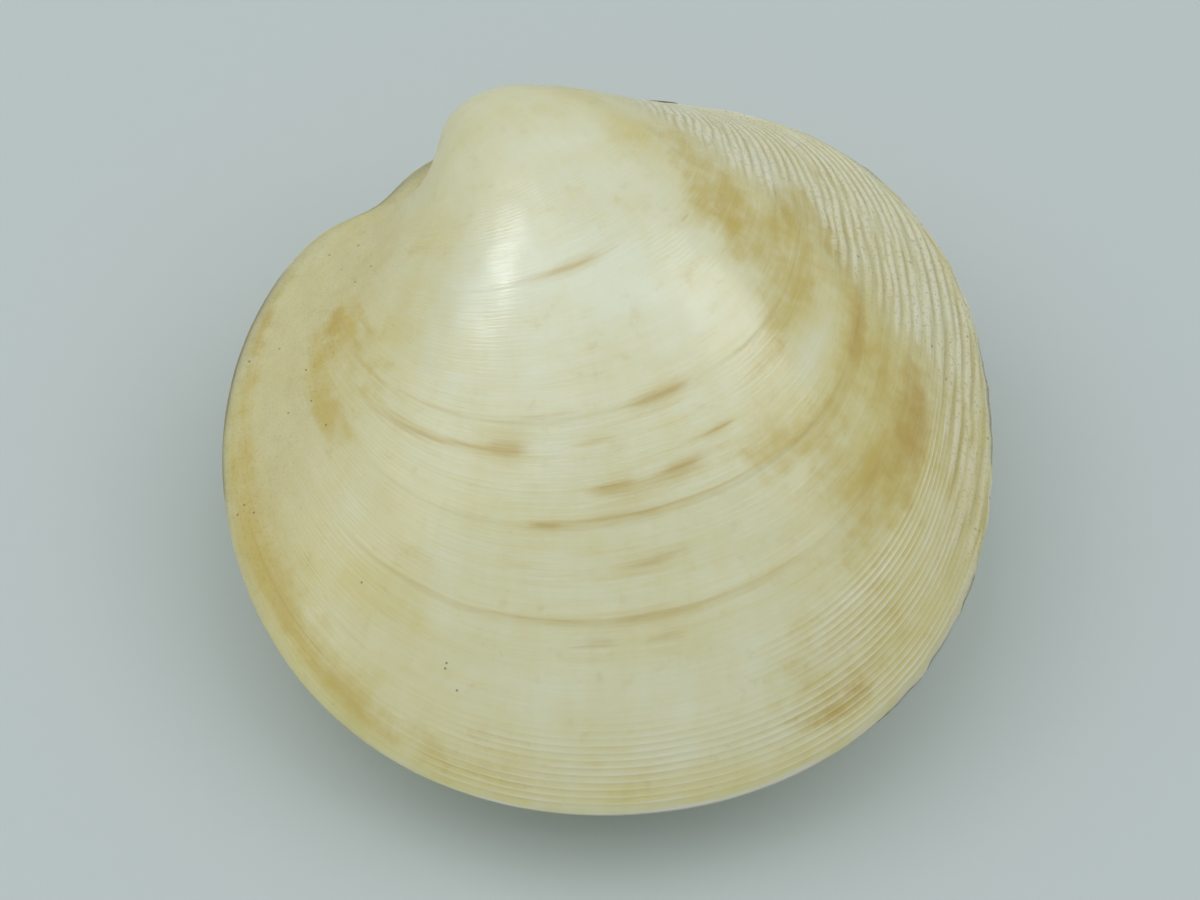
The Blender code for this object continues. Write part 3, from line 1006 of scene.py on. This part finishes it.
def ligament_strip(place):
    """Strip with lengthwise fibres, swept along the hinge margin."""
    random = np.random.default_rng(7)
    depths = random.uniform(0.3, 1.0, LIGAMENT_SIDES)
    roll = Matrix.Rotation(math.radians(REST_ROLL), 4, "Y")
    lean = roll @ Matrix.Rotation(math.radians(REST_PITCH), 4, "X")
    work = bmesh.new()
    rings = []
    for step in range(LIGAMENT_RINGS):
        share = step / (LIGAMENT_RINGS - 1)
        angle = LIGAMENT_FROM + (LIGAMENT_TO - LIGAMENT_FROM) * share
        fullness = LIGAMENT_TIP + (1.0 - LIGAMENT_TIP) * math.sin(math.pi * share) ** 0.7
        half_height = LIGAMENT_HEIGHT / 2 * fullness
        radius = float(margin_radius(angle))
        spread = float(away_from(angle, HINGE_AT)) / UMBO_BULGE_SPREAD
        bulge = UMBO_BULGE * math.exp(-(spread**2))
        middle = radius + half_height + LIGAMENT_GAP + bulge
        close = min(share, 1.0 - share) * (LIGAMENT_RINGS - 1) / 4
        end = math.sqrt(1.0 - (1.0 - min(close, 1.0)) ** 2)
        turn = math.radians(angle)
        outward = Vector((math.cos(turn), math.sin(turn), 0.0))
        ring = []
        for side in range(LIGAMENT_SIDES):
            around = 2.0 * math.pi * side / LIGAMENT_SIDES
            groove = FIBRE_DEPTH * depths[side] * (0.5 + 0.5 * math.cos(LIGAMENT_FIBRES * around))
            groove *= 0.6 + 0.4 * math.sin(9.0 * share + side)
            size = (1.0 - groove) * end
            rise = half_height * size * math.cos(around)
            wide = half_height * LIGAMENT_WIDTH / LIGAMENT_HEIGHT * size * math.sin(around)
            point = outward * (middle + rise) + Vector((0.0, 0.0, wide))
            ring.append(work.verts.new(lean @ (point * MM) + place))
        rings.append(ring)
    for first, second in zip(rings, rings[1:]):
        for side in range(LIGAMENT_SIDES):
            after = (side + 1) % LIGAMENT_SIDES
            work.faces.new((first[side], first[after], second[after], second[side]))
    bmesh.ops.remove_doubles(work, verts=work.verts, dist=1e-6)
    bmesh.ops.recalc_face_normals(work, faces=work.faces)
    mesh = mesh_of(work, "ligament_strip")
    mesh.shade_smooth()
    return placed("ligament_strip", mesh)


def ligament_material(look):
    """Dry conchiolin, the horny protein of the ligament, laid down in lengthwise fibres."""
    material = bpy.data.materials.new("dry_conchiolin_ligament")
    add = partial(wire, cleared_tree(material))
    place = add("ShaderNodeTexCoord").outputs["Object"]
    across = per_metre(FIBRE_WIDTH)
    fibres = add("ShaderNodeMapping", Vector=place, Scale=(per_metre(FIBRE_LENGTH), across, across))
    fibres = add(NOISE, Vector=fibres, Scale=1.0, Detail=4.0)
    share = add(MAP_RANGE, fibres, 0.35, 0.65)
    colour = add(MIX, share, A=look.ligament, B=look.ligament_edge, data_type="RGBA")
    bump = add("ShaderNodeBump", Strength=0.7, Distance=0.05 * MM, Height=fibres)
    shader = add("ShaderNodeBsdfPrincipled", Base_Color=colour, Roughness=0.45, IOR=1.5, Normal=bump)
    add("ShaderNodeOutputMaterial", Surface=shader)
    return material


def colour_property(name, description, hex_colour):
    return FloatVectorProperty(
        name=name, description=description, size=4, min=0.0, max=1.0, subtype="COLOR",
        default=linear(hex_colour),
    )


class ClamRelief(bpy.types.PropertyGroup):
    """Heights of the ridges and steps"""

    fine_ridge: FloatProperty(
        name="Fine ridge height", description="Height of a ridge on the disc and ventral margin",
        default=0.05 * MM, min=0.0, unit="LENGTH", subtype="DISTANCE",
    )
    coarse_ridge: FloatProperty(
        name="Coarse ridge height", description="Height of the fused ridges behind the disc",
        default=0.06 * MM, min=0.0, unit="LENGTH", subtype="DISTANCE",
    )
    pause_step: FloatProperty(
        name="Pause steps", description="Share of the full step at each growth pause",
        default=1.0, min=0.0, max=2.0, subtype="FACTOR",
    )
    valve_gap: FloatProperty(
        name="Valve gap", description="Width of the line between the closed valves",
        default=0.04 * MM, min=0.0, unit="LENGTH", subtype="DISTANCE",
    )


class ClamColours(bpy.types.PropertyGroup):
    """Colours of the shell and the ligament"""

    white: colour_property("White", "Clean shell on the disc", "#E8E9D0")
    cream: colour_property("Cream", "Yellowed shell", "#DCD195")
    # Crest colour: worn shell, and also a painted highlight on the ridge crests
    crest: colour_property("Crests", "Worn crests of the ridges", "#E9E2D0")
    tan: colour_property("Tan", "Broad stains", "#CDB868")
    rust: colour_property("Rust", "Stains along the growth lines", "#BF9E50")
    chalk: colour_property("Chalk", "Matte worn shell in front", "#CEC391")
    # Groove colour: real dirt, and also painted shade in the grooves
    dirt: colour_property("Dirt", "Dirt in the grooves", "#A29468")
    ligament: colour_property("Ligament", "Dark horny ligament", "#57402A")
    ligament_edge: colour_property("Ligament fibres", "Paler fibres of the ligament", "#8E7148")


class ClamStage(bpy.types.PropertyGroup):
    """Floor, lights and camera"""

    floor: colour_property("Floor", "Pale floor", "#CBD3D2")
    key_power: FloatProperty(
        name="Key light", description="Power of the left light", default=0.7, min=0.0, unit="POWER"
    )
    fill_power: FloatProperty(
        name="Fill light", description="Power of the right light", default=0.6, min=0.0, unit="POWER"
    )
    lens: FloatProperty(
        name="Lens", description="Focal length", default=75.4, min=1.0, subtype="DISTANCE_CAMERA",
        unit="CAMERA",
    )


def settle(pieces):
    """Bring the pair onto the CAD model: the rim's lowest corner is the same in both."""
    left = pieces["left_valve"]
    low = mesh_points(left.data).min(axis=0)
    target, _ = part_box("left_valve")
    shift = Vector(target) - Vector(low)
    shift.z -= (CAD_VALVE_GAP * MM - bpy.context.scene.clam_relief.valve_gap) / 2
    return shift


class CLAM_OT_add_valves(bpy.types.Operator):
    """Grow both valves, paint their stains and finish them"""

    bl_idname = "clam.add_valves"
    bl_label = "Add Valves"

    def execute(self, context):
        relief = context.scene.clam_relief
        look = context.scene.clam_colours
        material = bpy.data.materials.new("worn_aragonite_shell")
        tree = valve_tree()
        pieces = {}
        for node, side in (("left_valve", 1.0), ("right_valve", -1.0)):
            values = {
                "Side": side,
                "Columns": COLUMNS,
                "Fine Ridge Height": relief.fine_ridge / MM,
                "Coarse Ridge Height": relief.coarse_ridge / MM,
                "Pause Height": relief.pause_step,
                "Valve Gap": relief.valve_gap / MM,
                "Material": material,
            }
            piece = baked(node + "_shell", tree, values)
            if len(piece.data.vertices) == 0:
                raise RuntimeError(f"the tree made no mesh for {node}")
            close_up(piece.data, COLUMNS)
            pieces[node] = piece
        shift = settle(pieces)
        for node, piece in pieces.items():
            piece.data.transform(Matrix.Translation(shift))
            # The spot that the pair lies on is worn flat
            for vert in piece.data.vertices:
                vert.co.z = max(vert.co.z, 0.0)
            paint(piece.data, 1.0 if node == "left_valve" else 0.6)
            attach(piece, "root")
            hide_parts(node)
        finish_shell(material, look, speck_points(pieces["left_valve"].data))
        context.scene["clam_place"] = shift
        return {"FINISHED"}


class CLAM_OT_add_ligament(bpy.types.Operator):
    """Lay the ligament along the hinge margin"""

    bl_idname = "clam.add_ligament"
    bl_label = "Add Ligament"

    def execute(self, context):
        piece = ligament_strip(Vector(context.scene["clam_place"]))
        piece.data.materials.append(ligament_material(context.scene.clam_colours))
        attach(piece, "root")
        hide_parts("ligament")
        return {"FINISHED"}


def add_camera(lens):
    camera = placed("camera", bpy.data.cameras.new("camera"))
    camera.data.lens = lens
    camera.data.sensor_width = 36.0
    camera.data.clip_start = 0.01
    azimuth = math.radians(CAMERA_AZIMUTH)
    elevation = math.radians(CAMERA_ELEVATION)
    level = math.cos(elevation)
    forward = Vector((math.sin(azimuth) * level, math.cos(azimuth) * level, -math.sin(elevation)))
    turn = forward.to_track_quat("-Z", "Y") @ Quaternion((0.0, 0.0, 1.0), math.radians(CAMERA_ROLL))
    camera.rotation_euler = turn.to_euler()
    camera.location = CAMERA_TARGET - forward * CAMERA_DISTANCE
    bpy.context.scene.camera = camera


def add_light(name, direction, size, power, lights_matt):
    """Soft rectangular light aimed at the shell; the small ones show in its gloss alone."""
    data = bpy.data.lights.new(name, "AREA")
    data.shape = "RECTANGLE"
    data.size, data.size_y = size
    data.energy = power
    light = placed(name, data)
    towards = Vector(direction).normalized()
    light.location = towards * LIGHT_DISTANCE + Vector((0.0, 0.0, 0.012))
    light.rotation_euler = towards.to_track_quat("Z", "Y").to_euler()
    light.visible_diffuse = lights_matt


def floor_material(colour):
    """Matte painted board, brushed flat: an even pale ground with hardly any texture."""
    material = bpy.data.materials.new("matte_painted_board")
    add = partial(wire, cleared_tree(material))
    place = add("ShaderNodeTexCoord").outputs["Object"]
    mottle = add(NOISE, Vector=place, Scale=per_metre(BOARD_MOTTLE_SIZE), Detail=3.0)
    share = add(MAP_RANGE, mottle, 0.0, 1.0, 0.0, 0.05)
    shade = add(MIX, share, A=colour, B=linear(BOARD_MOTTLE_COLOUR), data_type="RGBA")
    shader = add("ShaderNodeBsdfPrincipled", Base_Color=shade, Roughness=0.9)
    add("ShaderNodeOutputMaterial", Surface=shader)
    return material


class CLAM_OT_add_stage(bpy.types.Operator):
    """Add the floor, the lights and the camera"""

    bl_idname = "clam.add_stage"
    bl_label = "Add Stage"

    def execute(self, context):
        stage = context.scene.clam_stage
        add_camera(stage.lens)
        key = stage.key_power
        fill = stage.fill_power
        add_light("left_window", (-0.55, 0.05, 0.83), (0.4, 0.5), key, True)
        add_light("right_window", (0.4, 0.0, 0.92), (0.4, 0.5), fill, True)
        add_light("left_glint", (-0.6, 0.32, 0.74), (0.15, 0.11), 0.48 * key, False)
        add_light("right_glint", (0.5, 0.22, 0.84), (0.2, 0.2), 0.45 * fill, False)
        world = bpy.data.worlds.new("soft_studio")
        add = partial(wire, cleared_tree(world))
        sky = add("ShaderNodeBackground", Color=linear(SKY_COLOUR), Strength=0.59)
        add("ShaderNodeOutputWorld", Surface=sky)
        context.scene.world = world
        context.scene.view_settings.view_transform = "Standard"

        work = bmesh.new()
        bmesh.ops.create_grid(work, x_segments=1, y_segments=1, size=0.6)
        floor = placed("floor", mesh_of(work, "floor"))
        floor.data.materials.append(floor_material(stage.floor))
        return {"FINISHED"}


class CLAM_PT_sidebar(bpy.types.Panel):
    """Build steps and settings of the clam"""

    bl_idname = "CLAM_PT_sidebar"
    bl_label = "Clam"
    bl_space_type = "VIEW_3D"
    bl_region_type = "UI"
    bl_category = "Clam"

    def draw(self, context):
        for group, cls in SETTINGS.items():
            box = self.layout.box()
            for name in cls.__annotations__:
                box.prop(getattr(context.scene, group), name)
        for operator in OPERATORS:
            self.layout.operator(operator.bl_idname)


SETTINGS = {"clam_relief": ClamRelief, "clam_colours": ClamColours, "clam_stage": ClamStage}
OPERATORS = (CLAM_OT_add_valves, CLAM_OT_add_ligament, CLAM_OT_add_stage)
CLASSES = (*SETTINGS.values(), *OPERATORS, CLAM_PT_sidebar)


def register():
    for cls in CLASSES:
        bpy.utils.register_class(cls)
    for name, cls in SETTINGS.items():
        setattr(bpy.types.Scene, name, PointerProperty(type=cls))


def unregister():
    for name in SETTINGS:
        delattr(bpy.types.Scene, name)
    for cls in reversed(CLASSES):
        bpy.utils.unregister_class(cls)


def main():
    register()
    bpy.ops.clam.add_valves()
    bpy.ops.clam.add_ligament()
    bpy.ops.clam.add_stage()


if __name__ == "__main__":
    main()
